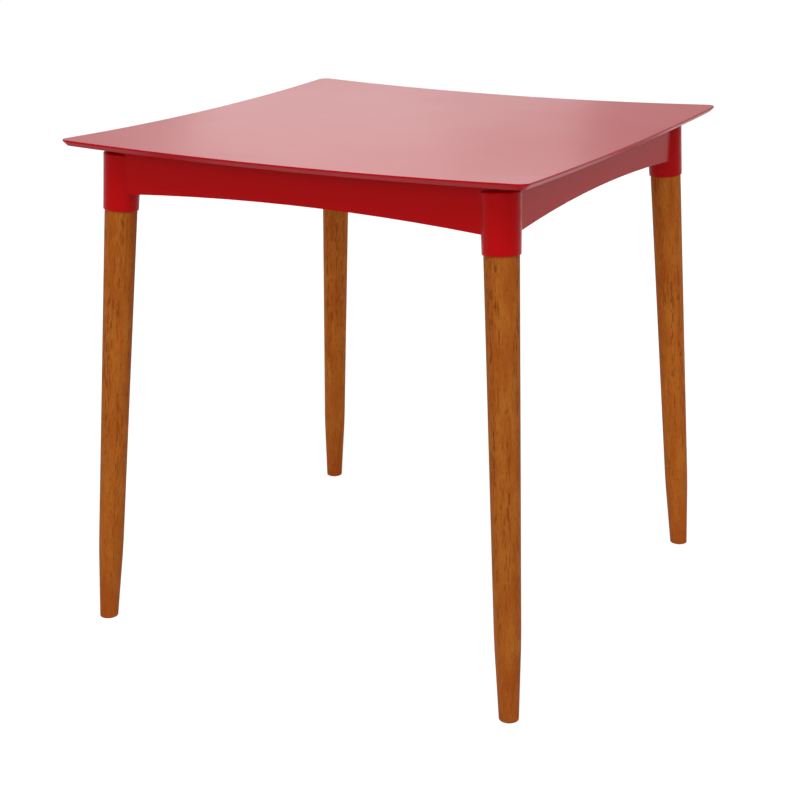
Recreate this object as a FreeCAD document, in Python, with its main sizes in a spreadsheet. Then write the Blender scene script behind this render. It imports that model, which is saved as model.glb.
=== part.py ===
import FreeCAD, Part

import math
import os

import Sketcher

Vector = FreeCAD.Vector
Rotation = FreeCAD.Rotation

# Square dining table, lengths in millimetres.
# A dished moulded top lies on a moulded underframe, whose four splayed collars hold turned wooden legs.
# Z is up, the floor is z = 0 and the origin is under the middle of the top.

DRIVING_SIZES = {
    # the whole table
    "top_side": 700.0,
    "table_height": 720.0,
    # tabletop plate and its rim
    "corner_lift": 7.0,
    "edge_bow": 3.5,
    "corner_radius": 14.0,
    "plate_wall": 3.0,
    "rim_face": 2.5,
    "rim_bevel": 5.7,
    "rim_land": 2.2,
    "rim_round": 0.6,
    # ribs, seat and bosses under the tabletop
    "rib_wall": 2.2,
    "rib_spacing": 87.0,
    "edge_rib_depth": 4.5,
    "seat_depth": 6.0,
    "seat_margin": 2.5,
    "boss_radius": 5.0,
    # aprons of the underframe
    "apron_inset": 42.0,
    "apron_wall": 3.0,
    "apron_height": 62.5,
    "apron_bow": 5.0,
    "apron_corner_radius": 12.0,
    "arch_rise": 11.0,
    # ledge inside the aprons
    "ledge_drop": 8.0,
    "ledge_wall": 3.0,
    "ledge_width": 19.0,
    "corner_web": 76.0,
    # collars
    "collar_inset": 14.5,
    "collar_drop": 85.8,
    "collar_gap": 6.0,
    "collar_rim_radius": 24.8,
    "collar_top_radius": 26.6,
    "collar_round": 3.0,
    "collar_rim_round": 0.8,
    "collar_blend": 3.5,
    "cap_wall": 4.5,
    "hub_radius": 10.5,
    "hub_length": 17.0,
    # legs
    "leg_splay": 38.5,
    "leg_radius": 22.8,
    "knee_radius": 18.0,
    "knee_height": 110.0,
    "foot_radius": 13.4,
    "foot_round": 2.0,
    "leg_head_chamfer": 2.0,
    "leg_play": 0.3,
    # hanger bolts and inserts
    "bolt_radius": 3.9,
    "bolt_grip": 46.0,
    "bolt_point": 6.0,
    "bolt_chamfer": 0.8,
    "thread_gap": 0.15,
    "insert_radius": 5.6,
    "insert_length": 14.0,
    "insert_groove": 0.5,
    "insert_fit": 0.05,
    # screws between ledge and tabletop
    "screw_radius": 1.9,
    "screw_length": 14.0,
    "screw_point": 2.5,
    "screw_head_radius": 4.0,
    "screw_head_height": 2.4,
    "screw_hole_play": 0.5,
    "pilot_end_gap": 1.0,
    # how far a cutting shape runs past what it cuts
    "overrun": 10.0,
}

RIBS_EACH_SIDE = 3
SCREW_RIB_STEP = 2
SCREWS_EACH_WAY = 1
SIDES = 4
CORNER_ANGLE = 45.0
QUARTER_TURN = 90.0
FULL_TURN = 360.0
DISH_SHARES = (1.0, -1.0, 1.0)
DISH_KNOT_SHARES = (0.25, 0.5, 0.75)
GROOVE_SHARES = (0.43, 0.57)
NEARLY_ALONG_Z = 0.99
MOSTLY_ALONG_Z = 0.9
SAME_PLACE = 1e-4

doc = FreeCAD.newDocument("square_table")
sheet = doc.addObject("Spreadsheet::Sheet", "Sizes")
for row, (alias, length) in enumerate(DRIVING_SIZES.items(), start=1):
    sheet.set(f"A{row}", alias)
    sheet.set(f"B{row}", str(length))
    sheet.setAlias(f"B{row}", alias)
doc.recompute()


class Measure:
    """A length or ratio with its value and the formula that ties it to the driving sizes."""

    def __init__(self, value, formula):
        self.value = value
        self.formula = formula

    def combined(self, sign, other, value):
        other_formula = other.formula if isinstance(other, Measure) else repr(other)
        return Measure(value, f"({self.formula} {sign} {other_formula})")

    def __add__(self, other):
        return self.combined("+", other, self.value + number(other))

    def __sub__(self, other):
        return self.combined("-", other, self.value - number(other))

    def __mul__(self, other):
        return self.combined("*", other, self.value * number(other))

    def __truediv__(self, other):
        return self.combined("/", other, self.value / number(other))

    def __neg__(self):
        return Measure(-self.value, f"(-1 * {self.formula})")


def number(measure):
    return measure.value if isinstance(measure, Measure) else measure


def root(measure):
    return Measure(math.sqrt(measure.value), f"sqrt({measure.formula})")


def size(alias):
    return Measure(float(sheet.get(alias)), f"Sizes.{alias}")


NOTHING = Measure(0.0, "0")
ROOT_TWO = Measure(math.sqrt(2.0), "sqrt(2)")


def bind(target, name, measure):
    target.setExpression(name, measure.formula)


def origin_part(body, role):
    return next(feature for feature in body.Origin.OriginFeatures if feature.Role == role)


def new_body(label):
    body = doc.addObject("PartDesign::Body", label)
    body.AllowCompound = True
    return body


def new_sketch(body, name, plane_role="XY_Plane", lift=NOTHING, turn=Rotation()):
    """A sketch on one of the body's own planes, lifted along the plane's normal or turned in place."""
    sketch = body.newObject("Sketcher::SketchObject", name)
    sketch.AttachmentSupport = [(origin_part(body, plane_role), "")]
    sketch.MapMode = "FlatFace"
    sketch.AttachmentOffset = FreeCAD.Placement(Vector(), turn)
    if lift is not NOTHING:
        bind(sketch, "AttachmentOffset.Base.z", lift)
    return sketch


def pin(sketch, edge, end, x, y):
    """Hold one end of an edge at x, y."""
    for axis, line, place in (("DistanceX", -2, x), ("DistanceY", -1, y)):
        if place is NOTHING:
            sketch.addConstraint(Sketcher.Constraint("PointOnObject", edge, end, line))
            continue
        held = sketch.addConstraint(Sketcher.Constraint(axis, -1, 1, edge, end, place.value))
        bind(sketch, f"Constraints[{held}]", place)


def arc_between(start, end, radius, left):
    """The short arc from start to end whose centre lies to the left or right of the way between them."""
    chord = end - start
    half = chord.Length / 2.0
    side = Vector(-chord.y, chord.x, 0) / chord.Length
    reach = math.sqrt(max(radius ** 2 - half ** 2, 0.0))
    centre = start + chord / 2.0 + side * (reach if left else -reach)
    circle = Part.Circle(centre, Vector(0, 0, 1), radius)
    first = math.atan2(start.y - centre.y, start.x - centre.x)
    last = math.atan2(end.y - centre.y, end.x - centre.x)
    if left:
        return Part.ArcOfCircle(circle, first, last), (1, 2)
    return Part.ArcOfCircle(circle, last, first), (2, 1)


def closed_profile(sketch, corners, arcs=()):
    """A closed outline through corners. arcs gives, for the edge after a corner, its radius and side."""
    bends = dict(arcs)
    first_edge = sketch.GeometryCount
    ends = []
    for index, (x, y) in enumerate(corners):
        next_x, next_y = corners[(index + 1) % len(corners)]
        start = Vector(x.value, y.value, 0)
        end = Vector(next_x.value, next_y.value, 0)
        if index in bends:
            radius, left = bends[index]
            arc, order = arc_between(start, end, radius.value, left)
            edge = sketch.addGeometry(arc, False)
            held = sketch.addConstraint(Sketcher.Constraint("Radius", edge, radius.value))
            bind(sketch, f"Constraints[{held}]", radius)
        else:
            sketch.addGeometry(Part.LineSegment(start, end), False)
            order = (1, 2)
        ends.append(order)
    for index, (x, y) in enumerate(corners):
        following = (index + 1) % len(corners)
        sketch.addConstraint(
            Sketcher.Constraint(
                "Coincident",
                first_edge + index,
                ends[index][1],
                first_edge + following,
                ends[following][0],
            )
        )
    for index, (x, y) in enumerate(corners):
        pin(sketch, first_edge + index, ends[index][0], x, y)


def axis_line(sketch, start, end):
    """A construction line to revolve about."""
    line = Part.LineSegment(
        Vector(start[0].value, start[1].value, 0), Vector(end[0].value, end[1].value, 0)
    )
    edge = sketch.addGeometry(line, True)
    pin(sketch, edge, 1, *start)
    pin(sketch, edge, 2, *end)


def add_circle(sketch, x, y, radius):
    circle = Part.Circle(Vector(x.value, y.value, 0), Vector(0, 0, 1), radius.value)
    edge = sketch.addGeometry(circle, False)
    held = sketch.addConstraint(Sketcher.Constraint("Radius", edge, radius.value))
    bind(sketch, f"Constraints[{held}]", radius)
    pin(sketch, edge, 3, x, y)


def bowed_square(sketch, half_side, bow):
    """A square with each side bowed inwards at its middle."""
    radius = (half_side * half_side + bow * bow) / (bow * 2)
    corners = [
        (-half_side, -half_side),
        (half_side, -half_side),
        (half_side, half_side),
        (-half_side, half_side),
    ]
    closed_profile(sketch, corners, [(side, (radius, False)) for side in range(SIDES)])


def rectangle(sketch, low_x, low_y, high_x, high_y):
    closed_profile(sketch, [(low_x, low_y), (high_x, low_y), (high_x, high_y), (low_x, high_y)])


def screw_circles(sketch, radius):
    """Circles at the screws of the front side, in a row half way across the ledge."""
    for step in range(-SCREWS_EACH_WAY, SCREWS_EACH_WAY + 1):
        add_circle(sketch, screw_spacing * step if step else NOTHING, -screw_row, radius)


def add_pad(body, name, sketch, length):
    pad = body.newObject("PartDesign::Pad", name)
    pad.Profile = sketch
    bind(pad, "Length", length)
    return pad


def add_through_pocket(body, name, sketch):
    pocket = body.newObject("PartDesign::Pocket", name)
    pocket.Profile = sketch
    pocket.Type = "ThroughAll"
    pocket.SideType = "Symmetric"
    return pocket


def add_turned(body, kind, name, sketch, axis):
    turned = body.newObject(f"PartDesign::{kind}", name)
    turned.Profile = sketch
    turned.ReferenceAxis = axis
    turned.Angle = FULL_TURN
    return turned


def add_polar(body, name, originals, occurrences, angle):
    pattern = body.newObject("PartDesign::PolarPattern", name)
    pattern.Originals = originals
    pattern.Axis = (origin_part(body, "Z_Axis"), [""])
    pattern.Angle = angle
    pattern.Occurrences = occurrences
    body.Tip = pattern
    return pattern


def add_linear(body, name, originals, axis_role, length, occurrences):
    pattern = body.newObject("PartDesign::LinearPattern", name)
    pattern.Originals = originals
    pattern.Direction = (origin_part(body, axis_role), [""])
    bind(pattern, "Length", length)
    pattern.Occurrences = occurrences
    body.Tip = pattern
    return pattern


def is_upright(edge):
    return abs(edge.tangentAt(edge.FirstParameter).z) > NEARLY_ALONG_Z


def is_steep(edge):
    return abs(edge.tangentAt((edge.FirstParameter + edge.LastParameter) / 2).z) > MOSTLY_ALONG_Z


def edge_names(shape, wanted):
    return [f"Edge{index}" for index, edge in enumerate(shape.Edges, start=1) if wanted(edge)]


def add_fillet(body, name, base, edges, radius):
    fillet = body.newObject("PartDesign::Fillet", name)
    fillet.Base = (base, edges)
    bind(fillet, "Radius", radius)
    body.Tip = fillet
    return fillet


def boolean(kind, label, *shapes, refine=False):
    made = doc.addObject(f"Part::{kind}", label)
    if kind == "MultiFuse":
        made.Shapes = list(shapes)
    else:
        made.Base, made.Tool = shapes
    made.Refine = refine
    return made


# Places that several pieces share

overrun = size("overrun")
half_top = size("top_side") / 2
top_middle = size("table_height") - size("corner_lift")
seat_level = top_middle - size("plate_wall") - size("seat_depth")
ledge_level = seat_level - size("ledge_drop")
apron_half = half_top - size("apron_inset")
apron_inner = apron_half - size("apron_wall")
apron_bottom = seat_level - size("apron_height")
collar_height = seat_level - size("collar_drop")
collar_reach = apron_half - size("collar_inset")
foot_reach = collar_reach + size("leg_splay")

# A sketch on the XZ plane is turned to stand on the table's diagonal
CORNER_TURN = Rotation(Vector(0, 1, 0), CORNER_ANGLE)

# Splay: how far a leg leans outwards in plan for each millimetre of height, along the table's diagonal
lean = ROOT_TWO * size("leg_splay") / collar_height
upright_share = root(Measure(1.0, "1") / (lean * lean + 1))
lean_share = lean * upright_share
axis_to_collar = collar_height / upright_share
collar_length = (size("collar_drop") - size("collar_gap")) / upright_share
socket_depth = collar_length - size("cap_wall") - size("hub_length")
leg_taper = (size("leg_radius") - size("knee_radius")) / (axis_to_collar - size("knee_height"))
leg_head_radius = size("leg_radius") + leg_taper * socket_depth

# Screws stand on every second rib of each side, half way across the ledge
screw_spacing = size("rib_spacing") * SCREW_RIB_STEP
screw_row = apron_inner - size("ledge_width") / 2
screw_tip = ledge_level - size("ledge_wall") + size("screw_length")
pilot_radius = size("screw_radius") + size("thread_gap")


def along_axis(distance, radius):
    """Plan distance and height of the point at a distance up a leg's axis and a radius from it."""
    outward = ROOT_TWO * foot_reach - lean_share * distance + upright_share * radius
    height = upright_share * distance + lean_share * radius
    return outward, height


def along_collar(distance, radius):
    return along_axis(axis_to_collar + distance, radius)


def dished_slab(label, drop, depth):
    """A slab that follows the dish of the top, from drop below its face to depth further down."""
    patch_half = number(half_top + overrun)
    scale = patch_half / number(half_top)
    lift = number(size("corner_lift")) * scale ** 4
    level = number(top_middle - drop)
    face = Part.BezierSurface()
    face.increase(len(DISH_SHARES) - 1, len(DISH_SHARES) - 1)
    for across, across_share in enumerate(DISH_SHARES):
        for along, along_share in enumerate(DISH_SHARES):
            place = Vector(
                patch_half * (across - 1),
                patch_half * (along - 1),
                level + lift * across_share * along_share,
            )
            face.setPole(across + 1, along + 1, place)
    surface = face.toBSpline()
    for knot_share in DISH_KNOT_SHARES:
        surface.insertUKnot(knot_share, 1, 0.0)
        surface.insertVKnot(knot_share, 1, 0.0)
    slab = doc.addObject("Part::Feature", label)
    slab.Shape = surface.toShape().extrude(Vector(0, 0, -number(depth)))
    return slab


def plan_prism(label, half_side, bow, radius, low, high):
    """An upright prism on a bowed square with rounded corners."""
    body = new_body(label)
    sketch = new_sketch(body, label + "_plan", lift=low)
    bowed_square(sketch, half_side, bow)
    pad = add_pad(body, label + "_pad", sketch, high - low)
    doc.recompute()
    add_fillet(body, label + "_corners", pad, edge_names(pad.Shape, is_upright), radius)
    return body


# Tabletop: a 3 mm dished plate with a deep rim, undercut by a bevel all round.
# The rim's bevel, and the ribs that reach it, follow the dish.

rim_depth = size("rim_face") + size("rim_bevel")
rim_inset = size("rim_bevel") + size("rim_land")
blank = boolean(
    "Common",
    "top_blank",
    plan_prism(
        "top_outline",
        half_top,
        size("edge_bow"),
        size("corner_radius"),
        ledge_level,
        top_middle + overrun * 2,
    ),
    dished_slab("rim_slab", NOTHING, rim_depth),
)
doc.recompute()


def outline_edges(shape, top_side):
    found = []
    for face in shape.Faces:
        middle = face.Surface.parameter(Vector(0, 0, number(top_middle)))
        level_face = abs(face.normalAt(*middle).z) > NEARLY_ALONG_Z
        if not level_face or face.Area < number(half_top) ** 2:
            continue
        is_top = face.CenterOfMass.z > number(top_middle - rim_depth / 2)
        if is_top == top_side:
            found += [index for index, edge in enumerate(shape.Edges, 1)
                      if any(edge.isSame(own) for own in face.Edges)]
    return found


bevelled = doc.addObject("Part::Chamfer", "bevelled_blank")
bevelled.Base = blank
bevelled.Edges = [
    (index, number(size("rim_bevel")), number(size("rim_bevel")))
    for index in outline_edges(blank.Shape, False)
]
doc.recompute()
rounded = doc.addObject("Part::Fillet", "rounded_blank")
rounded.Base = bevelled
rounded.Edges = [
    (index, number(size("rim_round")), number(size("rim_round")))
    for index in outline_edges(bevelled.Shape, True)
]
doc.recompute()

# Under the rim and the overhang the recess follows the dish. Inside the seat its ceiling is flat.

recess_half = half_top - rim_inset
recess_corner = size("corner_radius") - rim_inset
seat_outer = apron_half + size("seat_margin")
seat_inner = apron_inner - size("seat_margin")
ceiling = top_middle - size("plate_wall")
band = boolean(
    "Cut",
    "recess_band",
    plan_prism("recess_outline", recess_half, size("edge_bow"), recess_corner, ledge_level, top_middle),
    plan_prism(
        "seat_outline",
        seat_outer,
        size("apron_bow"),
        size("apron_corner_radius"),
        ledge_level - overrun,
        top_middle + overrun,
    ),
)
outer_recess = boolean(
    "Common",
    "outer_recess",
    band,
    dished_slab("recess_slab", size("plate_wall"), overrun * 2),
)
inner_recess = plan_prism(
    "inner_recess", seat_inner, size("apron_bow"), size("apron_corner_radius"), ledge_level, ceiling
)
recesses = boolean("MultiFuse", "recesses", outer_recess, inner_recess)
shell = boolean("Cut", "top_shell", rounded, recesses)

# Ribs, seat and bosses: deep ribs both ways inside the seat, shallow ones from the seat out to the rim.
# The seat is a flat-bottomed rib that lies on the upper edges of the aprons.

rib_reach = size("rib_spacing") * RIBS_EACH_SIDE
rib_half = size("rib_wall") / 2
root_level = ceiling + size("plate_wall") / 2


def rib_rows(body, name, near, far, low, high):
    """Parallel ribs at every rib place, from y = near to y = far."""
    sketch = new_sketch(body, name + "_plan", lift=low)
    for step in range(-RIBS_EACH_SIDE, RIBS_EACH_SIDE + 1):
        place = size("rib_spacing") * step
        rectangle(sketch, place - rib_half, near, place + rib_half, far)
    return add_pad(body, name, sketch, high - low)


under_side = new_body("under_side")
deep_half = rib_reach + rib_half
deep_rows = rib_rows(under_side, "deep_ribs", -deep_half, deep_half, ledge_level, root_level)
add_polar(under_side, "deep_rib_grid", [deep_rows], 2, QUARTER_TURN)
seat_sketch = new_sketch(under_side, "seat_plan", lift=seat_level)
bowed_square(seat_sketch, seat_outer, size("apron_bow"))
bowed_square(seat_sketch, seat_inner, size("apron_bow"))
add_pad(under_side, "seat", seat_sketch, root_level - seat_level)
boss_sketch = new_sketch(under_side, "boss_plan", lift=ledge_level)
screw_circles(boss_sketch, size("boss_radius"))
boss_pad = add_pad(under_side, "bosses", boss_sketch, root_level - ledge_level)
add_polar(under_side, "bosses_round", [boss_pad], SIDES, FULL_TURN)

edge_bars = new_body("edge_bars")
edge_rows = rib_rows(
    edge_bars,
    "edge_rows",
    -recess_half - size("rim_land") / 2,
    -seat_outer + size("seat_margin"),
    ledge_level,
    top_middle,
)
add_polar(edge_bars, "edge_rows_round", [edge_rows], SIDES, FULL_TURN)
edge_rib_slab = dished_slab(
    "edge_rib_slab", size("plate_wall") / 2, size("plate_wall") / 2 + size("edge_rib_depth")
)
edge_ribs = boolean("Common", "edge_ribs", edge_bars, edge_rib_slab)

pilots = new_body("pilot_holes")
pilot_sketch = new_sketch(pilots, "pilot_plan", lift=ledge_level - overrun)
screw_circles(pilot_sketch, pilot_radius)
pilot_pad = add_pad(
    pilots, "pilots", pilot_sketch, screw_tip + size("pilot_end_gap") - ledge_level + overrun
)
add_polar(pilots, "pilots_round", [pilot_pad], SIDES, FULL_TURN)
whole_top = boolean("MultiFuse", "whole_top", shell, under_side, edge_ribs)
tabletop = boolean("Cut", "tabletop", whole_top, pilots, refine=True)

# Underframe: one moulding of four arched aprons and four splayed collars.
# The collars blend into the ring of aprons, and the ring is then joined on once more, whole, over
# what the rounding of the collars' caps takes from it.


def outer_corner(edge):
    return is_upright(edge) and abs(edge.Vertexes[0].X) > number(apron_half) - SAME_PLACE


def inner_corner(edge):
    return is_upright(edge) and abs(edge.Vertexes[0].X) < number(apron_inner) + SAME_PLACE


# The lower edge of each apron is an arc that rises from collar to collar
arch_rise = size("arch_rise")
arch_radius = (collar_reach * collar_reach + arch_rise * arch_rise) / (arch_rise * 2)


def apron_ring(body, prefix):
    """The ring of four bowed aprons: corners rounded inside first and then outside, then the arches."""
    sketch = new_sketch(body, prefix + "_plan", lift=apron_bottom)
    bowed_square(sketch, apron_half, size("apron_bow"))
    bowed_square(sketch, apron_inner, size("apron_bow"))
    pad = add_pad(body, prefix, sketch, size("apron_height"))
    doc.recompute()
    inner_radius = size("apron_corner_radius") - size("apron_wall")
    inner_edges = edge_names(pad.Shape, inner_corner)
    inner_round = add_fillet(body, prefix + "_inner_corners", pad, inner_edges, inner_radius)
    doc.recompute()
    outer_edges = edge_names(inner_round.Shape, outer_corner)
    add_fillet(body, prefix + "_outer_corners", inner_round, outer_edges, size("apron_corner_radius"))
    arch_sketch = new_sketch(body, prefix + "_arch", "XZ_Plane")
    closed_profile(
        arch_sketch,
        [
            (-collar_reach, apron_bottom - overrun),
            (collar_reach, apron_bottom - overrun),
            (collar_reach, apron_bottom),
            (-collar_reach, apron_bottom),
        ],
        [(2, (arch_radius, True))],
    )
    arch_cut = add_through_pocket(body, prefix + "_arch_cut", arch_sketch)
    add_polar(body, prefix + "_arches", [arch_cut], 2, QUARTER_TURN)


underframe = new_body("underframe")
apron_ring(underframe, "apron_base")

# Collars: cones about the legs' axes, wider at the top, joined square to the ring

collar_sketch = new_sketch(underframe, "collar_profile", "XZ_Plane", turn=CORNER_TURN)
collar_flank = (size("collar_top_radius") - size("collar_rim_radius")) / collar_length
rim_round = size("collar_rim_round")
closed_profile(
    collar_sketch,
    [
        along_collar(NOTHING, NOTHING),
        along_collar(NOTHING, size("collar_rim_radius") - rim_round),
        along_collar(rim_round, size("collar_rim_radius") + collar_flank * rim_round),
        along_collar(collar_length, size("collar_top_radius")),
        along_collar(collar_length, NOTHING),
    ],
    [(1, (rim_round, True))],
)
axis_line(collar_sketch, along_axis(NOTHING, NOTHING), along_collar(collar_length, NOTHING))
collar = add_turned(underframe, "Revolution", "collar", collar_sketch, (collar_sketch, ["Axis0"]))
add_polar(underframe, "collars", [collar], SIDES, FULL_TURN)
doc.recompute()


def beside_collar(edge):
    """The edge where the outer face of an apron runs into the flank of a collar."""
    middle = edge.valueAt((edge.FirstParameter + edge.LastParameter) / 2)
    out_by = max(abs(middle.x), abs(middle.y)) - number(apron_half)
    near_face = abs(out_by) < number(size("apron_wall")) / 2
    long_enough = edge.Length > number(size("apron_height")) / 2
    return near_face and long_enough and edge.Curve.TypeId != "Part::GeomLine"


blend_edges = edge_names(underframe.Tip.Shape, lambda edge: beside_collar(edge) and is_steep(edge))
add_fillet(underframe, "collar_blends", underframe.Tip, blend_edges, size("collar_blend"))

# Each cap is rounded by a ring cut about the collar's axis

cap_sketch = new_sketch(underframe, "cap_round_profile", "XZ_Plane", turn=CORNER_TURN)
round_start = collar_length - size("collar_round")
round_radius = size("collar_top_radius") - collar_flank * size("collar_round")
closed_profile(
    cap_sketch,
    [
        along_collar(round_start, round_radius),
        along_collar(round_start, round_radius + overrun),
        along_collar(collar_length + overrun, round_radius + overrun),
        along_collar(collar_length + overrun, round_radius - size("collar_round")),
        along_collar(collar_length, round_radius - size("collar_round")),
    ],
    [(4, (size("collar_round"), False))],
)
axis_line(cap_sketch, along_axis(NOTHING, NOTHING), along_collar(collar_length, NOTHING))
cap_round = add_turned(underframe, "Groove", "cap_round", cap_sketch, (cap_sketch, ["Axis0"]))
add_polar(underframe, "cap_rounds", [cap_round], SIDES, FULL_TURN)

whole_aprons = new_body("whole_aprons")
apron_ring(whole_aprons, "apron")
rejoined = underframe.newObject("PartDesign::Boolean", "rejoined_aprons")
rejoined.setObjects([whole_aprons])
rejoined.Type = "Fuse"
underframe.Tip = rejoined
doc.recompute()

# Ledge inside the aprons, widened into a web at each corner, with the screw holes

ledge_sketch = new_sketch(underframe, "ledge_plan", lift=ledge_level - size("ledge_wall"))
ledge_outer = apron_half - size("apron_wall") / 2 - size("apron_bow")
ledge_inner = apron_inner - size("ledge_width")
web_start = ledge_inner - size("corner_web")
rectangle(ledge_sketch, -ledge_outer, -ledge_outer, ledge_outer, ledge_outer)
closed_profile(
    ledge_sketch,
    [
        (-web_start, -ledge_inner),
        (web_start, -ledge_inner),
        (ledge_inner, -web_start),
        (ledge_inner, web_start),
        (web_start, ledge_inner),
        (-web_start, ledge_inner),
        (-ledge_inner, web_start),
        (-ledge_inner, -web_start),
    ],
)
add_pad(underframe, "ledge", ledge_sketch, size("ledge_wall"))

hole_sketch = new_sketch(underframe, "screw_hole_plan", lift=ledge_level)
screw_circles(hole_sketch, size("screw_radius") + size("screw_hole_play"))
screw_hole = add_through_pocket(underframe, "screw_holes", hole_sketch)
add_polar(underframe, "screw_holes_round", [screw_hole], SIDES, FULL_TURN)

# Sockets: bored for the leg up to a hub that holds the insert, and cored round the hub up to the cap

socket_sketch = new_sketch(underframe, "socket_profile", "XZ_Plane", turn=CORNER_TURN)
core_top = collar_length - size("cap_wall")
bore_low = size("leg_radius") + size("leg_play") - leg_taper * overrun
bore_high = size("leg_radius") + size("leg_play") + leg_taper * core_top
insert_top = socket_depth + size("insert_length")
insert_bore = size("insert_radius") + size("insert_fit")
closed_profile(
    socket_sketch,
    [
        along_collar(-overrun, NOTHING),
        along_collar(-overrun, bore_low),
        along_collar(core_top, bore_high),
        along_collar(core_top, size("hub_radius")),
        along_collar(socket_depth, size("hub_radius")),
        along_collar(socket_depth, insert_bore),
        along_collar(insert_top, insert_bore),
        along_collar(insert_top, NOTHING),
    ],
)
axis_line(socket_sketch, along_axis(NOTHING, NOTHING), along_collar(collar_length, NOTHING))
socket = add_turned(underframe, "Groove", "socket", socket_sketch, (socket_sketch, ["Axis0"]))
add_polar(underframe, "sockets", [socket], SIDES, FULL_TURN)


# Pieces that lie along a leg's axis are turned about their own z axis and then leaned into place

CORNERS = {
    "front_left": -3 * CORNER_ANGLE,
    "front_right": -CORNER_ANGLE,
    "back_right": CORNER_ANGLE,
    "back_left": 3 * CORNER_ANGLE,
}
lean_angle = math.degrees(math.atan(number(lean)))


def lean_into_place(piece, corner_angle):
    """Stand a piece whose z axis is a leg's axis on that leg's foot point."""
    turn = Rotation(Vector(0, 0, 1), corner_angle)
    tilt = Rotation(Vector(0, 1, 0), -lean_angle)
    foot_point = turn.multVec(Vector(number(ROOT_TWO * foot_reach), 0, 0))
    piece.Placement = FreeCAD.Placement(foot_point, turn * tilt)


def turned_body(label, corners, arcs=()):
    """A body turned about its own z axis from a profile of radius and height."""
    body = new_body(label)
    sketch = new_sketch(body, label + "_profile", "XZ_Plane")
    closed_profile(sketch, corners, arcs)
    turned = add_turned(body, "Revolution", label + "_turned", sketch, (sketch, ["V_Axis"]))
    body.Tip = turned
    return body


def make_leg(corner, corner_angle):
    """A turned wooden leg: slow taper to the knee, faster to the foot, cut level with the floor."""
    head_top = axis_to_collar + socket_depth
    head_chamfer = size("leg_head_chamfer")
    bolt_bore = size("bolt_radius") + size("thread_gap")
    bore_bottom = head_top - size("bolt_grip")
    foot_low = -size("foot_radius") * lean * 2
    foot_flare = (size("knee_radius") - size("foot_radius")) / size("knee_height")
    leg = turned_body(
        "leg_" + corner,
        [
            (NOTHING, foot_low),
            (size("foot_radius") + foot_flare * foot_low, foot_low),
            (size("knee_radius"), size("knee_height")),
            (leg_head_radius - leg_taper * head_chamfer, head_top - head_chamfer),
            (leg_head_radius - head_chamfer, head_top),
            (bolt_bore, head_top),
            (bolt_bore, bore_bottom),
            (NOTHING, bore_bottom - size("bolt_point")),
        ],
    )
    level_sketch = new_sketch(leg, "floor_cut_" + corner, "XZ_Plane")
    reach = size("knee_radius") * 2
    closed_profile(
        level_sketch,
        [
            (-reach, reach * lean),
            (-reach, -reach * 2),
            (reach, -reach * 2),
            (reach, -reach * lean),
        ],
    )
    level_cut = add_through_pocket(leg, "level_foot_" + corner, level_sketch)
    leg.Tip = level_cut
    doc.recompute()
    rim = edge_names(level_cut.Shape, lambda edge: edge.BoundBox.ZMax < number(size("foot_radius")))
    add_fillet(leg, "foot_round_" + corner, level_cut, rim, size("foot_round"))
    lean_into_place(leg, corner_angle)
    return leg


def make_bolt(corner, corner_angle):
    """A hanger bolt: pointed wood thread in the leg, machine thread in the insert."""
    seat_place = axis_to_collar + socket_depth
    low = seat_place - size("bolt_grip")
    high = seat_place + size("insert_length") - size("thread_gap") * 2
    chamfer = size("bolt_chamfer")
    bolt = turned_body(
        "leg_bolt_" + corner,
        [
            (NOTHING, low),
            (size("bolt_radius"), low + size("bolt_point")),
            (size("bolt_radius"), high - chamfer),
            (size("bolt_radius") - chamfer, high),
            (NOTHING, high),
        ],
    )
    lean_into_place(bolt, corner_angle)
    return bolt


def make_insert(corner, corner_angle):
    """A brass insert with a threaded bore and a grip groove half way up, moulded into the hub."""
    low = axis_to_collar + socket_depth
    high = low + size("insert_length")
    bore = size("bolt_radius") + size("thread_gap")
    outer = size("insert_radius")
    groove_low, groove_high = (low + size("insert_length") * share for share in GROOVE_SHARES)
    insert = turned_body(
        "leg_insert_" + corner,
        [
            (bore, low),
            (outer, low),
            (outer, groove_low),
            (outer - size("insert_groove"), groove_low),
            (outer - size("insert_groove"), groove_high),
            (outer, groove_high),
            (outer, high),
            (bore, high),
        ],
    )
    lean_into_place(insert, corner_angle)
    return insert


def make_screws(side_name, side_angle):
    """The pan-head screws of one side, from under the ledge up into the tabletop's bosses."""
    body = new_body("top_screws_" + side_name)
    sketch = new_sketch(body, "screw_profile_" + side_name, "XZ_Plane", lift=screw_row)
    under_ledge = ledge_level - size("ledge_wall")
    start = screw_spacing * -SCREWS_EACH_WAY
    closed_profile(
        sketch,
        [
            (start, under_ledge - size("screw_head_height")),
            (start + size("screw_head_radius") - size("screw_head_height") / 2,
             under_ledge - size("screw_head_height")),
            (start + size("screw_head_radius"), under_ledge - size("screw_head_height") / 2),
            (start + size("screw_head_radius"), under_ledge),
            (start + size("screw_radius"), under_ledge),
            (start + size("screw_radius"), screw_tip - size("screw_point")),
            (start, screw_tip),
        ],
    )
    axis_line(sketch, (start, under_ledge), (start, screw_tip))
    screw = add_turned(body, "Revolution", "screw_" + side_name, sketch, (sketch, ["Axis0"]))
    add_linear(
        body, "screws_" + side_name, [screw], "X_Axis", screw_spacing * 2 * SCREWS_EACH_WAY,
        2 * SCREWS_EACH_WAY + 1,
    )
    body.Placement = FreeCAD.Placement(Vector(), Rotation(Vector(0, 0, 1), side_angle))
    return body


SCREW_SIDES = {"front": 0.0, "right": QUARTER_TURN, "back": 2 * QUARTER_TURN, "left": 3 * QUARTER_TURN}

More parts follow.
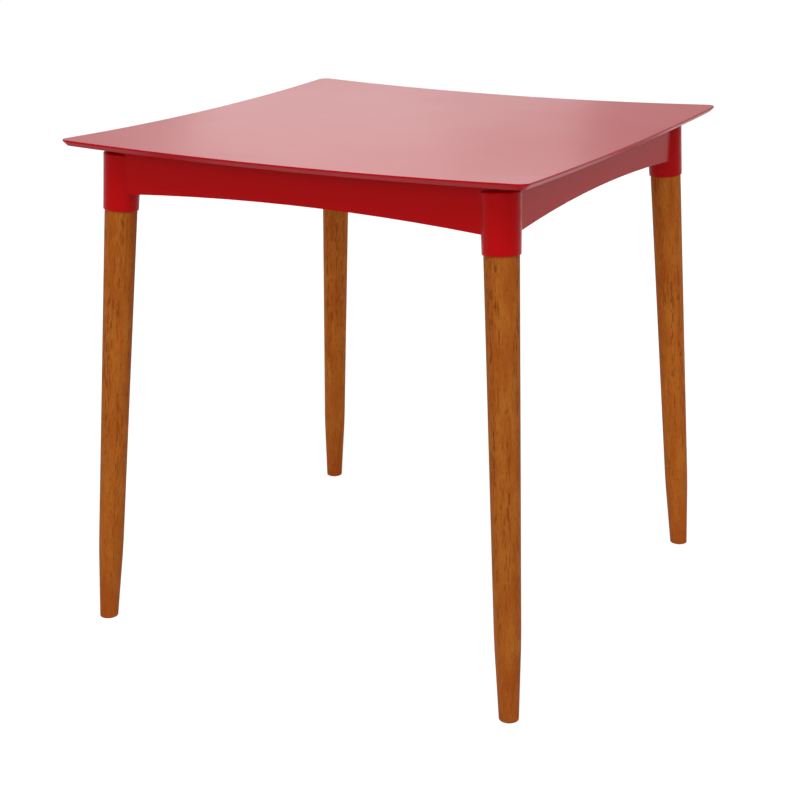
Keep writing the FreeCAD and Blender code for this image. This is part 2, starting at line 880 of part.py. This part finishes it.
sub_parts = [tabletop, underframe]
for maker in (make_leg, make_bolt, make_insert):
    sub_parts += [maker(corner, corner_angle) for corner, corner_angle in CORNERS.items()]
sub_parts += [make_screws(side_name, side_angle) for side_name, side_angle in SCREW_SIDES.items()]
doc.recompute()

# Every feature has to be sound before a shape is written

for feature in doc.Objects:
    if "Invalid" in feature.State or "Error" in feature.State:
        raise RuntimeError(f"{feature.Label} failed: {feature.State}")
for sub_part in sub_parts:
    if sub_part.Shape.isNull() or not sub_part.Shape.isValid():
        raise RuntimeError(f"{sub_part.Label} has no valid shape")

os.makedirs("parts", exist_ok=True)
for sub_part in sub_parts:
    sub_part.Shape.exportStep(os.path.join("parts", sub_part.Label + ".step"))
    box = sub_part.Shape.optimalBoundingBox(False)
    print(
        f"{sub_part.Label}: {len(sub_part.Shape.Solids)} solids, {sub_part.Shape.Volume:.0f} mm3,"
        f" x {box.XMin:.1f} to {box.XMax:.1f}, y {box.YMin:.1f} to {box.YMax:.1f},"
        f" z {box.ZMin:.1f} to {box.ZMax:.1f}"
    )
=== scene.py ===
import math

import bmesh
import bpy
from mathutils import Matrix, Vector


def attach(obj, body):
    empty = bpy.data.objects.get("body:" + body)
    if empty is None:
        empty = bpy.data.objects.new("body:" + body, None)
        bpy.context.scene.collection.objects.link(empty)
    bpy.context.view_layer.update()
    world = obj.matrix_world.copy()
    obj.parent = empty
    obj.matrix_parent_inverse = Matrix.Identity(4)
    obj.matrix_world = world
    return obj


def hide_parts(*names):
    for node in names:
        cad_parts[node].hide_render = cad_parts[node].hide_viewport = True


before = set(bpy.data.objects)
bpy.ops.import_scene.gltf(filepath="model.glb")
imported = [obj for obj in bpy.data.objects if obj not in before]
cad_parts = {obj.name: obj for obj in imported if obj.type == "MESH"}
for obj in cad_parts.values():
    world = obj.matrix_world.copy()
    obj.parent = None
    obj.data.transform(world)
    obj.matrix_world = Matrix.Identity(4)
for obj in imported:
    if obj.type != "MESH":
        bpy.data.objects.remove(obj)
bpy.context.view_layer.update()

# The tabletop is one injection moulding of red polypropylene: a thin dished plate with a deep rim,
# and ribs, screw bosses and a seat for the underframe on its lower side. Its plate runs smoothly
# into the rounded upper edge, and the rim, the bevel and the ribs have crisp edges.

HALF_TOP = 0.35
PLATE_MIDDLE = 0.713
CORNER_LIFT = 0.007
PLATE_GRID = 0.0175
EDGE_RIB_END = 0.3432
SAME_PLACE = 3e-5
SAME_POINT = 1e-6
ALONG_AN_AXIS = 0.99
MOULDING_CREASE = math.radians(20)
TOP_RED = "#A50414"


def moulding(node):
    """A copy of a moulding's CAD mesh, with the points that lie together merged."""
    shape = bmesh.new()
    shape.from_mesh(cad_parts[node].data)
    bmesh.ops.remove_doubles(shape, verts=shape.verts, dist=SAME_POINT)
    return shape


def plate_height(place):
    """Height of the dished upper face, which rises only towards the corners."""
    return PLATE_MIDDLE + CORNER_LIFT * (place.x * place.y / HALF_TOP ** 2) ** 2


def even_plate(shape):
    """Divide the dished upper face into even squares, so that it shades as one smooth sheet."""
    upper = [face for face in shape.faces
             if all(abs(vert.co.z - plate_height(vert.co)) < SAME_PLACE for vert in face.verts)]
    sheet = bmesh.ops.dissolve_faces(shape, faces=upper, use_verts=False)["region"][0]
    parts = [sheet] + sheet.verts[:] + sheet.edges[:]
    lines = int(HALF_TOP / PLATE_GRID)
    for across in (Vector((1, 0, 0)), Vector((0, 1, 0))):
        for line in range(-lines, lines + 1):
            cut = bmesh.ops.bisect_plane(shape, geom=parts, plane_co=across * line * PLATE_GRID,
                                         plane_no=across, dist=SAME_POINT)
            parts = list({part for part in cut["geom"] if part.is_valid})
    squares = [part for part in parts if isinstance(part, bmesh.types.BMFace)]
    for vert in {vert for square in squares for vert in square.verts}:
        vert.co.z = plate_height(vert.co)


def trim_edge_ribs(shape):
    """Take off the ribs' square corners that stand out of the rim's bevel, which is plain."""
    corners = [vert for vert in shape.verts
               if abs(max(abs(vert.co.x), abs(vert.co.y)) - EDGE_RIB_END) < SAME_PLACE
               and all(max(abs(part) for part in face.normal) > ALONG_AN_AXIS
                       for face in vert.link_faces)]
    bmesh.ops.dissolve_verts(shape, verts=corners)


def smooth_piece(name, shape, crease):
    """The piece with this shape, smooth but for edges that turn by more than the crease angle."""
    for face in shape.faces:
        face.smooth = True
    for edge in shape.edges:
        edge.smooth = edge.is_manifold and edge.calc_face_angle() < crease
    mesh = bpy.data.meshes.new(name)
    shape.to_mesh(mesh)
    shape.free()
    piece = bpy.data.objects.new(name, mesh)
    bpy.context.collection.objects.link(piece)
    even = piece.modifiers.new("even_normals", "WEIGHTED_NORMAL")
    even.keep_sharp = True
    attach(piece, "root")
    return piece


def linear(hex_colour):
    """An sRGB hex colour as linear red, green and blue, with an alpha of 1."""
    parts = [int(hex_colour[start:start + 2], 16) / 255 for start in (1, 3, 5)]
    return [part / 12.92 if part <= 0.04045 else ((part + 0.055) / 1.055) ** 2.4
            for part in parts] + [1.0]


def add_node(tree, kind, settings=None, links=None):
    """A node with its settings, and its inputs linked to outputs or set to values."""
    node = tree.nodes.new(kind)
    for key, value in (settings or {}).items():
        setattr(node, key, value)
    for socket, source in (links or {}).items():
        if isinstance(source, bpy.types.NodeSocket):
            tree.links.new(source, node.inputs[socket])
        else:
            node.inputs[socket].default_value = source
    return node


def new_material(name):
    """An empty material and its node tree."""
    material = bpy.data.materials.new(name)
    material.use_nodes = True
    material.node_tree.nodes.clear()
    return material, material.node_tree


MOULD_FLOW = 0.11
GLOSS_DRIFT = 0.008
MOULD_GRAIN = 0.0007
GRAIN_DEPTH = 0.0002


def moulded_polypropylene(name, colour, roughness, gloss):
    """Semi-gloss polypropylene from a finely spark-eroded mould: even colour, soft reflections.

    Its gloss drifts a little over a hand's width, as the melt flowed. The real grain is under
    0.1 mm and wouldn't show, so it is drawn 0.7 mm wide.
    """
    material, tree = new_material(name)
    place = add_node(tree, "ShaderNodeTexCoord")
    flow = add_node(tree, "ShaderNodeTexNoise", {}, {
        "Vector": place.outputs["Object"], "Scale": 1 / MOULD_FLOW,
        "Detail": 3.0, "Roughness": 0.5})
    sheen = add_node(tree, "ShaderNodeMapRange", {}, {
        "Value": flow.outputs["Fac"], "From Min": 0.3, "From Max": 0.7,
        "To Min": roughness - GLOSS_DRIFT, "To Max": roughness + GLOSS_DRIFT})
    grain = add_node(tree, "ShaderNodeTexNoise", {}, {
        "Vector": place.outputs["Object"], "Scale": 1 / MOULD_GRAIN,
        "Detail": 2.0, "Roughness": 0.5})
    relief = add_node(tree, "ShaderNodeBump", {}, {
        "Height": grain.outputs["Fac"], "Strength": 0.06, "Distance": GRAIN_DEPTH})
    shader = add_node(tree, "ShaderNodeBsdfPrincipled", {}, {
        "Base Color": linear(colour), "Roughness": sheen.outputs["Result"],
        "Normal": relief.outputs["Normal"], "IOR": 1.49, "Specular IOR Level": gloss})
    add_node(tree, "ShaderNodeOutputMaterial", {}, {"Surface": shader.outputs["BSDF"]})
    return material


top_shape = moulding("tabletop")
even_plate(top_shape)
trim_edge_ribs(top_shape)
tabletop = smooth_piece("red_tabletop", top_shape, MOULDING_CREASE)
tabletop.data.materials.append(
    moulded_polypropylene("red_polypropylene_top", TOP_RED, roughness=0.30, gloss=0.10))
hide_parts("tabletop")

# The underframe is one injection moulding of the same polypropylene: four arched aprons that run
# with a blend into four splayed collars, with a ledge inside that is screwed up into the tabletop.

FRAME_RED = "#AF0206"

frame_shape = moulding("underframe")
underframe = smooth_piece("red_underframe", frame_shape, MOULDING_CREASE)
underframe.data.materials.append(
    moulded_polypropylene("red_polypropylene_frame", FRAME_RED, roughness=0.20, gloss=0.07))
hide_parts("underframe")

# The legs are turned from hardwood and stained an orange brown under a satin lacquer. Each holds a
# hanger bolt in its bored head and screws up into a collar, and its foot is cut level with the
# floor. They lean out along the diagonals, and each has its own grain. Each also gets its own
# brightness, which is painted light: the back legs, which lie in the table's shade, are lightened,
# and the front ones darkened.

FOOT_REACH = 0.332
RIM_REACH = 0.2935
RIM_HEIGHT = 0.6182
LEG_RADIUS = 0.0228
KNEE_RADIUS = 0.018
KNEE_HEIGHT = 0.110
KNEE_BLEND = 0.012
KNEE_STEPS = 5
FOOT_RADIUS = 0.0134
FOOT_ROUND = 0.0012
FOOT_STEPS = 4
HEAD_IN_SOCKET = 0.0586
HEAD_CHAMFER = 0.002
BORE_RADIUS = 0.00405
BORE_DEPTH = 0.046
BORE_POINT = 0.006
TURNING_STEPS = 64
SAME_POINT_ON_AXIS = 1e-7
TURNING_CREASE = math.radians(30)

lean = math.sqrt(2) * (FOOT_REACH - RIM_REACH) / RIM_HEIGHT
lean_angle = math.atan(lean)
rim_place = RIM_HEIGHT / math.cos(lean_angle)
head_place = rim_place + HEAD_IN_SOCKET
leg_taper = (LEG_RADIUS - KNEE_RADIUS) / (rim_place - KNEE_HEIGHT)
head_radius = LEG_RADIUS + leg_taper * HEAD_IN_SOCKET
foot_flare = (KNEE_RADIUS - FOOT_RADIUS) / KNEE_HEIGHT
# The turned blank starts below the floor, far enough for the level cut to go right through it.
blank_start = -FOOT_RADIUS * lean * 2

# Each pattern's width across the grain and its length along it.
CLOUD_SIZE = (0.016, 0.062)
GRAIN_LINE_SIZE = (0.006, 0.30)
DASH_SIZE = (0.0024, 0.016)
PORE_SIZE = (0.0016, 0.0067)
PORE_DEPTH = 0.0002
FADED_HEIGHT = 0.45
SOAKED_HEIGHT = 0.11
CLOUD_BROWN = "#A45416"
CLOUD_ORANGE = "#B06521"
STREAK_BROWN = "#73380D"
PORE_BROWN = "#6F330B"
SOAKED_RED = "#9A3810"


def stained_hardwood():
    """Orange-brown stain under a satin lacquer, in clouds, with broken streaks and short pores.

    The streaks are strongest where dashes lie on grain lines. Real pores are 0.2 mm wide and
    wouldn't show, so they are drawn 1.6 mm wide. Towards the foot the streaks fade, and the stain
    soaks into the end grain and turns redder.
    """
    material, tree = new_material("stained_hardwood_legs")
    place = add_node(tree, "ShaderNodeAttribute", {"attribute_name": "grain_place"})
    patterns = []
    for width, length in (CLOUD_SIZE, GRAIN_LINE_SIZE, DASH_SIZE, PORE_SIZE):
        along_leg = add_node(tree, "ShaderNodeMapping", {}, {
            "Vector": place.outputs["Vector"], "Scale": (1 / width, 1 / width, 1 / length)})
        noise = add_node(tree, "ShaderNodeTexNoise", {}, {
            "Vector": along_leg.outputs["Vector"], "Scale": 1.0,
            "Detail": 2.0, "Roughness": 0.55})
        patterns.append(noise.outputs["Fac"])
    cloud, grain_line, dash, pore = patterns
    stain = add_node(tree, "ShaderNodeValToRGB", {}, {"Fac": cloud})
    brown_end, orange_end = stain.color_ramp.elements
    brown_end.position, brown_end.color = 0.34, linear(CLOUD_BROWN)
    orange_end.position, orange_end.color = 0.66, linear(CLOUD_ORANGE)
    above_floor = add_node(tree, "ShaderNodeSeparateXYZ", {}, {
        0: add_node(tree, "ShaderNodeTexCoord").outputs["Object"]})
    streak_depth = add_node(tree, "ShaderNodeMapRange", {}, {
        "Value": above_floor.outputs["Z"], "From Max": FADED_HEIGHT,
        "To Min": 0.4, "To Max": 0.9})
    line_mask = add_node(tree, "ShaderNodeMapRange", {}, {
        "Value": grain_line, "From Min": 0.42, "From Max": 0.60,
        "To Min": 0.1, "To Max": streak_depth.outputs["Result"]})
    dash_mask = add_node(tree, "ShaderNodeMapRange", {}, {
        "Value": dash, "From Min": 0.47, "From Max": 0.64})
    streak_mask = add_node(tree, "ShaderNodeMath", {"operation": "MULTIPLY"}, {
        0: line_mask.outputs["Result"], 1: dash_mask.outputs["Result"]})
    pore_mask = add_node(tree, "ShaderNodeMapRange", {}, {
        "Value": pore, "From Min": 0.53, "From Max": 0.70, "To Max": 0.4})
    soaked_mask = add_node(tree, "ShaderNodeMapRange", {}, {
        "Value": above_floor.outputs["Z"], "From Min": SOAKED_HEIGHT, "From Max": 0.0,
        "To Max": 0.4})
    # A colour Mix node takes its factor in socket 0 and its colours in 6 and 7, and gives 2.
    colour = stain.outputs["Color"]
    for mask, mark_colour in (
        (streak_mask.outputs[0], STREAK_BROWN),
        (pore_mask.outputs["Result"], PORE_BROWN),
        (soaked_mask.outputs["Result"], SOAKED_RED),
    ):
        colour = add_node(tree, "ShaderNodeMix", {"data_type": "RGBA"}, {
            0: mask, 6: colour, 7: linear(mark_colour)}).outputs[2]
    # Each leg's brightness is scaled by its painted light tone, which lightens the legs in shade
    # and darkens the nearer ones.
    light_tone = add_node(tree, "ShaderNodeAttribute", {"attribute_name": "painted_light_tone"})
    toned = add_node(tree, "ShaderNodeHueSaturation", {}, {
        "Color": colour, "Value": light_tone.outputs["Fac"]})
    relief = add_node(tree, "ShaderNodeBump", {}, {
        "Height": pore, "Strength": 0.15, "Distance": PORE_DEPTH})
    shader = add_node(tree, "ShaderNodeBsdfPrincipled", {}, {
        "Base Color": toned.outputs["Color"], "Roughness": 0.55,
        "Normal": relief.outputs["Normal"], "IOR": 1.5, "Specular IOR Level": 0.06})
    add_node(tree, "ShaderNodeOutputMaterial", {}, {"Surface": shader.outputs["BSDF"]})
    return material


def turned_leg(name, corner_angle, grain_shift, painted_light_tone):
    """One leg, turned about its own axis, cut level at the foot and leaned into its collar."""
    shape = bmesh.new()
    profile = [
        (0.0, blank_start),
        (FOOT_RADIUS + foot_flare * blank_start, blank_start),
        (KNEE_RADIUS, KNEE_HEIGHT),
        (head_radius - leg_taper * HEAD_CHAMFER, head_place - HEAD_CHAMFER),
        (head_radius - HEAD_CHAMFER, head_place),
        (BORE_RADIUS, head_place),
        (BORE_RADIUS, head_place - BORE_DEPTH),
        (0.0, head_place - BORE_DEPTH - BORE_POINT),
    ]
    points = [shape.verts.new((radius, 0.0, height)) for radius, height in profile]
    lines = [shape.edges.new(pair) for pair in zip(points, points[1:])]
    bmesh.ops.spin(shape, geom=points + lines, cent=(0, 0, 0), axis=(0, 0, 1),
                   angle=math.tau, steps=TURNING_STEPS, use_merge=True)
    bmesh.ops.remove_doubles(shape, verts=shape.verts, dist=SAME_POINT_ON_AXIS)
    knee = [edge for edge in shape.edges
            if all(abs(vert.co.z - KNEE_HEIGHT) < SAME_POINT for vert in edge.verts)]
    bmesh.ops.bevel(shape, geom=knee, offset=KNEE_BLEND, offset_type="OFFSET",
                    segments=KNEE_STEPS, profile=0.5, affect="EDGES", material=-1)
    up_from_floor = Vector((math.sin(lean_angle), 0, math.cos(lean_angle)))
    cut = bmesh.ops.bisect_plane(
        shape, geom=shape.verts[:] + shape.edges[:] + shape.faces[:],
        plane_co=(0, 0, 0), plane_no=up_from_floor, clear_inner=True)
    sole_edges = [item for item in cut["geom_cut"] if isinstance(item, bmesh.types.BMEdge)]
    bmesh.ops.contextual_create(shape, geom=sole_edges)
    bmesh.ops.bevel(shape, geom=sole_edges, offset=FOOT_ROUND, offset_type="OFFSET",
                    segments=FOOT_STEPS, profile=0.5, affect="EDGES", material=-1)
    bmesh.ops.recalc_face_normals(shape, faces=shape.faces)
    grain = shape.verts.layers.float_vector.new("grain_place")
    light_tone = shape.verts.layers.float.new("painted_light_tone")
    for vert in shape.verts:
        vert[grain] = vert.co + Vector(grain_shift)
        vert[light_tone] = painted_light_tone
    foot_point = Matrix.Translation((math.copysign(FOOT_REACH, math.cos(corner_angle)),
                                     math.copysign(FOOT_REACH, math.sin(corner_angle)), 0))
    turn = Matrix.Rotation(corner_angle, 4, "Z") @ Matrix.Rotation(-lean_angle, 4, "Y")
    bmesh.ops.transform(shape, matrix=foot_point @ turn, verts=shape.verts)
    return smooth_piece(name, shape, TURNING_CREASE)


hardwood = stained_hardwood()
# The last number is each leg's painted light: brightness raised where the leg lies in shade,
# lowered near the lamps.
for corner, corner_degrees, grain_shift, painted_light_tone in (
    ("front_left", -135, (0.11, 0.02, 0.30), 0.93),
    ("front_right", -45, (0.03, 0.07, 1.10), 0.88),
    ("back_right", 45, (0.19, 0.05, 2.35), 1.05),
    ("back_left", 135, (0.27, 0.01, 3.90), 1.22),
):
    leg = turned_leg("turned_leg_" + corner, math.radians(corner_degrees), grain_shift, painted_light_tone)
    leg.data.materials.append(hardwood)
    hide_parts("leg_" + corner)

# The screws and hanger bolts are steel, bright zinc plated, and the inserts moulded into the
# collars' hubs are turned brass. They show only from below or when the table is taken apart.

WEAR_PATCHES_PER_METRE = 300.0
WEAR = 0.08
ZINC_GREY = "#C9CBCE"
BRASS_YELLOW = "#CDA55A"


def handled_metal(name, colour, roughness):
    """Bright metal whose shine is dulled here and there, in patches of about 3 mm."""
    material, tree = new_material(name)
    place = add_node(tree, "ShaderNodeTexCoord")
    worn = add_node(tree, "ShaderNodeTexNoise", {}, {
        "Vector": place.outputs["Object"], "Scale": WEAR_PATCHES_PER_METRE, "Detail": 2.0})
    rough = add_node(tree, "ShaderNodeMapRange", {}, {
        "Value": worn.outputs["Fac"], "To Min": roughness - WEAR, "To Max": roughness + WEAR})
    shader = add_node(tree, "ShaderNodeBsdfPrincipled", {}, {
        "Base Color": linear(colour), "Metallic": 1.0, "Roughness": rough.outputs["Result"]})
    add_node(tree, "ShaderNodeOutputMaterial", {}, {"Surface": shader.outputs["BSDF"]})
    return material


zinc = handled_metal("zinc_plated_steel", ZINC_GREY, roughness=0.3)
brass = handled_metal("turned_brass", BRASS_YELLOW, roughness=0.3)
for node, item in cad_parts.items():
    if node.startswith(("leg_bolt", "top_screws")):
        item.data.materials.clear()
        item.data.materials.append(zinc)
    elif node.startswith("leg_insert"):
        item.data.materials.clear()
        item.data.materials.append(brass)

# The floor is a wide sweep of matt white paper in a white studio. The camera and the reflections
# see both as white, and the paper still shows the table's soft shadow. Matt surfaces get less
# light from both than the camera sees.

FLOOR_SIDE = 40.0
PAPER_WHITE = (0.75, 0.75, 0.75, 1.0)
SHADOW_GREY = (0.3, 0.3, 0.3, 1.0)
PAPER_GLOW = 0.86
STUDIO_WHITE = "#FFFFFF"
STUDIO_ON_MATT = 0.48

floor_shape = bmesh.new()
bmesh.ops.create_grid(floor_shape, x_segments=1, y_segments=1, size=FLOOR_SIDE / 2)
floor_mesh = bpy.data.meshes.new("floor")
floor_shape.to_mesh(floor_mesh)
floor_shape.free()
floor = bpy.data.objects.new("floor", floor_mesh)
bpy.context.collection.objects.link(floor)


def seen_directly(tree):
    """1 for what the camera, a reflection or a refraction sees, 0 for light on matt surfaces."""
    ray = add_node(tree, "ShaderNodeLightPath")
    mirrored = add_node(tree, "ShaderNodeMath", {"operation": "MAXIMUM"}, {
        0: ray.outputs["Is Glossy Ray"], 1: ray.outputs["Is Transmission Ray"]})
    seen = add_node(tree, "ShaderNodeMath", {"operation": "MAXIMUM"}, {
        0: ray.outputs["Is Camera Ray"], 1: mirrored.outputs[0]})
    return seen.outputs[0]


paper, tree = new_material("white_paper_sweep")
matt = add_node(tree, "ShaderNodeBsdfDiffuse", {}, {"Color": PAPER_WHITE})
shaded = add_node(tree, "ShaderNodeBsdfDiffuse", {}, {"Color": SHADOW_GREY})
glow = add_node(tree, "ShaderNodeEmission", {}, {"Strength": PAPER_GLOW})
lit = add_node(tree, "ShaderNodeAddShader", {}, {0: shaded.outputs[0], 1: glow.outputs[0]})
shown = add_node(tree, "ShaderNodeMixShader", {}, {
    0: seen_directly(tree), 1: matt.outputs[0], 2: lit.outputs[0]})
add_node(tree, "ShaderNodeOutputMaterial", {}, {"Surface": shown.outputs[0]})
floor.data.materials.append(paper)

world = bpy.data.worlds.new("studio")
bpy.context.scene.world = world
world.use_nodes = True
world.node_tree.nodes.clear()
tree = world.node_tree
brightness = add_node(tree, "ShaderNodeMapRange", {}, {
    "Value": seen_directly(tree), "To Min": STUDIO_ON_MATT, "To Max": 1.0})
backdrop = add_node(tree, "ShaderNodeBackground", {}, {
    "Color": linear(STUDIO_WHITE), "Strength": brightness.outputs["Result"]})
add_node(tree, "ShaderNodeOutputWorld", {}, {"Surface": backdrop.outputs[0]})

# Five softboxes face the middle of the table: the key from above the camera, a wide one far in
# front, one behind on the right, and two small ones, one low and one higher, across the table
# from the camera.

LAMP_TARGET = Vector((0, 0, 0.6))

for name, place, width, height, watts in (
    ("key_softbox", (1.11, -2.01, 3.98), 2.0, 2.0, 82),
    ("front_softbox", (1.47, -8.33, 3.78), 7.0, 3.0, 190),
    ("right_softbox", (3.76, 6.51, 3.44), 4.0, 2.5, 68),
    ("low_back_softbox", (-1.94, 3.43, 1.39), 1.5, 0.9, 3.3),
    ("high_back_softbox", (-2.13, 3.04, 2.2), 1.2, 0.9, 6.1),
):
    lamp = bpy.data.lights.new(name, "AREA")
    lamp.shape = "RECTANGLE"
    lamp.size = width
    lamp.size_y = height
    lamp.energy = watts
    softbox = bpy.data.objects.new(name, lamp)
    bpy.context.collection.objects.link(softbox)
    softbox.location = place
    softbox.rotation_euler = (LAMP_TARGET - Vector(place)).to_track_quat("-Z", "Y").to_euler()

# The camera stands where the photograph's did, about 1.1 m above the floor, and looks down at the
# table. Its place, turn and focal length were solved from the edges of the top, the collars and
# the feet, and the focal length is in widths of a pixel of the 800 pixel picture.

CAMERA_PLACE = Vector((1.1368, -2.0958, 1.0981))
YAW = math.radians(118.7212)
PITCH = math.radians(18.621)
ROLL = math.radians(-0.3304)
FOCAL_PIXELS = 1647.37
PICTURE_PIXELS = 800
SENSOR_WIDTH = 36.0

forward = Vector((math.cos(PITCH) * math.cos(YAW), math.cos(PITCH) * math.sin(YAW),
                  -math.sin(PITCH)))
level_right = Vector((math.sin(YAW), -math.cos(YAW), 0))
level_up = level_right.cross(forward)
right = math.cos(ROLL) * level_right + math.sin(ROLL) * level_up
up = math.cos(ROLL) * level_up - math.sin(ROLL) * level_right
camera_data = bpy.data.cameras.new("camera")
camera_data.sensor_width = SENSOR_WIDTH
camera_data.lens = FOCAL_PIXELS * SENSOR_WIDTH / PICTURE_PIXELS
camera = bpy.data.objects.new("camera", camera_data)
bpy.context.collection.objects.link(camera)
axes = Matrix((right, up, -forward)).transposed().to_4x4()
camera.matrix_world = Matrix.Translation(CAMERA_PLACE) @ axes
bpy.context.scene.camera = camera

bpy.context.scene.view_settings.view_transform = "Standard"
